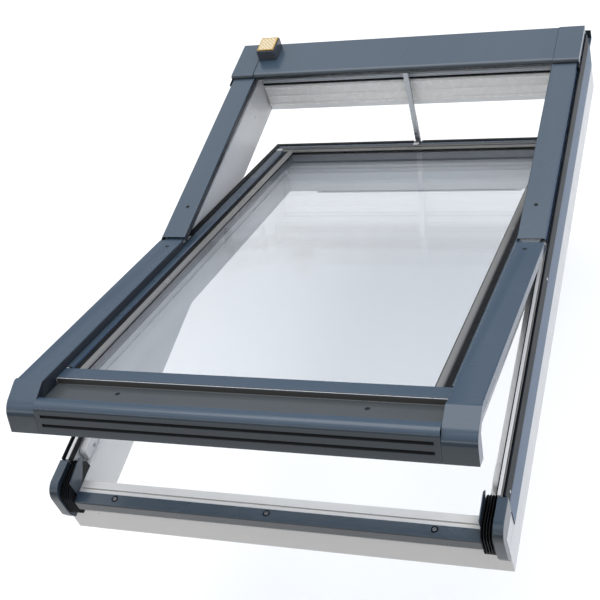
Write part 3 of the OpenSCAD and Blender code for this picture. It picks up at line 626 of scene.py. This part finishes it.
# %% [markdown]
# ## Softened copies of the CAD pieces
# CAD edges are perfectly sharp, and nothing real is. A copy of the node's mesh is merged, its flat
# triangles are joined into whole faces, and a Bevel rounds every edge turn above an angle, with
# weighted normals so that the flats stay flat. The copy then stands for the CAD node.

# %% Softened copies
WELD = 0.001 * MM
FLAT_TURN, SHARP_TURN = math.radians(0.6), math.radians(38.0)


def closed_frame(points):
    """Points of the open sash turned back about the pivot to where they lie when it is shut."""
    turn, pivot = np.array(TO_CLOSED), np.array(PIVOT)
    return (points - pivot) @ turn.T + pivot


def paint(mesh, material, where):
    """Gives the faces whose centre and normal pass the test where(centre, normal) a material."""
    count = len(mesh.polygons)
    centre, normal = np.empty(count * 3), np.empty(count * 3)
    mesh.polygons.foreach_get("center", centre)
    mesh.polygons.foreach_get("normal", normal)
    index = np.empty(count, dtype=np.int32)
    mesh.polygons.foreach_get("material_index", index)
    mesh.materials.append(material)
    chosen = where(centre.reshape(-1, 3), normal.reshape(-1, 3))
    index[chosen] = len(mesh.materials) - 1
    mesh.polygons.foreach_set("material_index", index)
    return int(chosen.sum())


def closed_points(mesh):
    """The mesh's vertices where they lie when the sash is shut."""
    flat = np.empty(len(mesh.vertices) * 3)
    mesh.vertices.foreach_get("co", flat)
    return closed_frame(flat.reshape(-1, 3))


def softened(node, body, material, width):
    """A merged copy of a CAD node with every sharp edge rounded over width millimetres."""
    source = frame["nodes"][node]
    mesh = source.data.copy()
    b = bmesh.new()
    b.from_mesh(mesh)
    bmesh.ops.remove_doubles(b, verts=b.verts, dist=WELD)
    bmesh.ops.dissolve_limit(b, angle_limit=FLAT_TURN, verts=b.verts, edges=b.edges)
    b.to_mesh(mesh)
    b.free()
    mesh.materials.clear()
    mesh.materials.append(material)
    mesh.shade_smooth()
    piece = bpy.data.objects.new(node + "_piece", mesh)
    bpy.context.scene.collection.objects.link(piece)
    bevel = piece.modifiers.new("soft_edges", "BEVEL")
    bevel.width = width * MM
    bevel.segments = 2
    bevel.limit_method = "ANGLE"
    bevel.angle_limit = SHARP_TURN
    bevel.use_clamp_overlap = True
    normals = piece.modifiers.new("flat_normals", "WEIGHTED_NORMAL")
    normals.keep_sharp = False
    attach(piece, body)
    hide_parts(node)


SLOTS = {s["node"]: s["material_slot"] for s in frame["record"]["subparts"]}
BODY_OF = {n: b for b, nodes in frame["record"]["behaviour"]["bodies"].items() for n in nodes}
FINISH_OF_SLOT = {
    "white_rail": (rail_skin, 1.2), "slate_cladding": (slate_coat, 0.5),
    "slate_shell": (slate_shell, 1.0), "dark_screw": (black_screw, 0.25),
    "steel_screw": (zinc_steel, 0.25), "white_moulding": (white_part, 0.5),
    "black_seal": (seal_rubber, 0.4), "dark_plastic": (dark_moulding, 0.5),
    "sensor_body": (sensor_plastic, 1.2), "sensor_plate": (gold_film, 0.5),
    "olive_housing": (opener_plastic, 1.5), "bare_aluminium": (bare_aluminium, 0.3),
    "ribbed_cover": (ribbed_plastic, 0.5), "zinc_steel": (zinc_steel, 0.6),
    "chain_steel": (chain_steel, 0.4),
}
FINISH_OF_NODE = {
    "frame_cladding_left": (cladding_slate, 0.5), "frame_cladding_right": (cladding_slate, 0.5),
    "front_cover": (sash_coat, 0.5), "sash_cover_left": (sash_coat, 0.5),
    "sash_cover_right": (sash_coat, 0.5), "head_strip": (grey_strip, 0.3),
    "sill_screws": (dark_steel, 0.25),
}
PLAIN = {"inner_pane": clear_glass, "outer_pane": clear_glass, "pane_spacer": spacer_metal,
         "glazing_seat": seal_rubber}
REMADE = {"drive_chain"}
for node in sorted(frame["nodes"]):
    if node in REMADE:
        continue
    if node in PLAIN:
        mesh = frame["nodes"][node].data
        mesh.materials.clear()
        mesh.materials.append(PLAIN[node])
        continue
    finish, width = FINISH_OF_NODE.get(node) or FINISH_OF_SLOT[SLOTS[node]]
    softened(node, BODY_OF[node], finish, width)

# %% [markdown]
# ### Faces that need a second finish
# Some nodes are one solid but show two finishes: the louvre slots are painted near black inside,
# the front cover's recess a darker grey and the covers' inward walls dark, all as painted shade; a
# washer is rubber round a steel head, a glazing strip changes half way. The copy's faces are picked
# by where they lie, measured in the closed frame, and get a further material slot.

# %% Second finishes
GLASS_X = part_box("outer_pane")[1][0]
COAT_INSET, SEAM_OUT = 10.5 * MM, 13.0 * MM
TOP_STRIP_W, TOP_COAT_W, TOP_SEAM_W = 31.2 * MM, 14.5 * MM, 1.2 * MM
BOTTOM_STRIP_W = 33.2 * MM
strip_mesh = bpy.data.objects["glazing_strips_piece"].data
strip_y = closed_points(strip_mesh)[:, 1]
TOP_EDGE, BOTTOM_EDGE = strip_y.max(), strip_y.min()
side_strip = strip_coat("side_strip_coat", "X", GLASS_X - COAT_INSET, GLASS_X + SEAM_OUT)
top_strip = strip_coat("top_strip_coat", "Y", TOP_EDGE - TOP_COAT_W, TOP_EDGE - TOP_SEAM_W)
painted = [
    paint(strip_mesh, side_strip, lambda c, n: np.full(len(c), True)),
    paint(strip_mesh, top_strip, lambda c, n: closed_frame(c)[:, 1] > TOP_EDGE - TOP_STRIP_W),
    paint(strip_mesh, sash_coat,
          lambda c, n: closed_frame(c)[:, 1] < BOTTOM_EDGE + BOTTOM_STRIP_W),
]
front_mesh = bpy.data.objects["front_cover_piece"].data
front_points = closed_points(front_mesh)
FRONT_Y, LIP_TOP = front_points[:, 1].min(), front_points[:, 2].max()
SLOT_NEAR, SLOT_FAR = 0.4 * MM, 4.6 * MM
NOSE_TOP_Z = 120.0 * MM
RECESS_BACK, LIP_T = 22.6 * MM, 1.6 * MM


def in_slot(centre, normal):
    """Faces that lie just behind the front wall's face: the floors and sides of the slots."""
    place = closed_frame(centre)
    depth = place[:, 1] - FRONT_Y
    return (depth > SLOT_NEAR) & (depth < SLOT_FAR) & (place[:, 2] < NOSE_TOP_Z)


# Painted shade: the slots' floors and sides are painted near black.
painted.append(paint(front_mesh, slot_shadow, in_slot))


def in_recess(centre, normal):
    """The sunken shelf behind the nose and its two low walls."""
    place = closed_frame(centre)
    height = place[:, 2]
    behind = place[:, 1] - FRONT_Y > RECESS_BACK
    return behind & (height < LIP_TOP - LIP_T) & (height > NOSE_TOP_Z)


# Painted shade: the recess and its low walls are painted a darker grey.
painted.append(paint(front_mesh, recess_painted_shade, in_recess))
INWARD = 0.7
WASHER_SUNK = 0.4 * MM
# Painted shade: each cover's walls facing into the window are painted dark.
for cover in ("sash_cover_left", "sash_cover_right", "upper_cover_left", "upper_cover_right"):
    cover_mesh = bpy.data.objects[cover + "_piece"].data
    painted.append(paint(cover_mesh, inner_wall_painted_shade,
                         lambda c, n: n[:, 0] * np.sign(c[:, 0]) < -INWARD))
screw_mesh = bpy.data.objects["sill_screws_piece"].data
sill_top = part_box("sill_cover")[1][2]
painted.append(paint(screw_mesh, seal_rubber, lambda c, n: c[:, 2] < sill_top - WASHER_SUNK))
print("faces given a second finish:", painted)

# %% [markdown]
# ## The drive chain
# The opener pushes the sash with a chain that can bend one way only: each link has a square
# shoulder on one edge, so its outline is toothed on that edge and straight on the other.
# One link's outline is drawn once, and numpy places the copies along the chain's line. As the
# sash shuts, the real chain folds away inside the opener; here the links ride with the chain guide.

# %% Chain
low, high = (np.array(p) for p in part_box("chain_guide"))
exit_point = (low + high) / 2
chain_low, chain_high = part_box("drive_chain")
LEAN = math.radians(7.42)  # from the window's normal, in the plane across the hinge line
END_PLAY = 1.5 * MM
down = np.array([0.0, -math.sin(LEAN), -math.cos(LEAN)])
across = np.array([1.0, 0.0, 0.0])
outward = np.cross(across, down)
RUN = (chain_high[2] - chain_low[2]) / math.cos(LEAN) - END_PLAY
PITCH = 10.5 * MM
FIRST_LINK = 6.5 * MM
LINK_COUNT = int(RUN / PITCH)


def links(name, outline, y_low, y_high):
    """One plate outline (u across, v down the chain) y_low..y_high thick, copied every PITCH."""
    n = len(outline)
    u, v = outline[:, 0], outline[:, 1]
    k = np.arange(LINK_COUNT)[:, None]
    along = FIRST_LINK + k * PITCH + v
    ring = exit_point + u[None, :, None] * across + along[..., None] * down
    verts = np.stack([ring + y_low * outward, ring + y_high * outward], axis=1).reshape(-1, 3)
    base = (np.arange(LINK_COUNT) * 2 * n)[:, None]
    i = np.arange(n)
    j = (i + 1) % n
    walls = (base[:, :, None] + np.stack([i, j, j + n, i + n], axis=1)[None]).reshape(-1, 4)
    lids = [list(b[0] + i[::-1]) for b in base] + [list(b[0] + n + i) for b in base]
    mesh = bpy.data.meshes.new(name)
    mesh.from_pydata(verts.tolist(), [], walls.tolist() + lids)
    mesh.validate()
    return mesh


def link_outline(half, length, tooth):
    """A plate with one straight edge at +half and a round tooth at -half."""
    turn = np.linspace(-0.5 * math.pi, 0.5 * math.pi, 9)
    bump_v = length * 0.5 + np.sin(turn) * length * 0.42
    bump_u = -half - np.cos(turn) * tooth
    return np.column_stack([np.concatenate([[half, half], [-half], bump_u[::-1], [-half]]),
                            np.concatenate([[0.0, length], [length], bump_v[::-1], [0.0]])])


RIVET_R, RIVET_IN = 2.0 * MM, 1.0 * MM
plate = link_outline(5.2 * MM, PITCH * 0.985, 1.0 * MM)
middle = link_outline(4.6 * MM, PITCH, 0.4 * MM)
turn = np.linspace(0, 2 * math.pi, 12, endpoint=False)
rivet = np.column_stack([RIVET_R * np.cos(turn) + RIVET_IN, RIVET_R * np.sin(turn) + PITCH / 2])
layers = [links(name, outline, low_mm * MM, high_mm * MM) for name, outline, low_mm, high_mm in (
    ("chain_links", plate, -3.4, -1.6), ("chain_inner", middle, -1.5, 1.5),
    ("chain_back", plate, 1.6, 3.4), ("chain_rivets", rivet, -3.9, 3.9))]
b = bmesh.new()
for layer in layers:
    b.from_mesh(layer)
bmesh.ops.recalc_face_normals(b, faces=b.faces)
chain_mesh = layers[0]
b.to_mesh(chain_mesh)
b.free()
chain = bpy.data.objects.new("chain_links", chain_mesh)
bpy.context.scene.collection.objects.link(chain)
chain_mesh.materials.append(chain_steel)
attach(chain, "chain_guide")
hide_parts("drive_chain")
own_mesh(chain)
print("chain links:", LINK_COUNT)
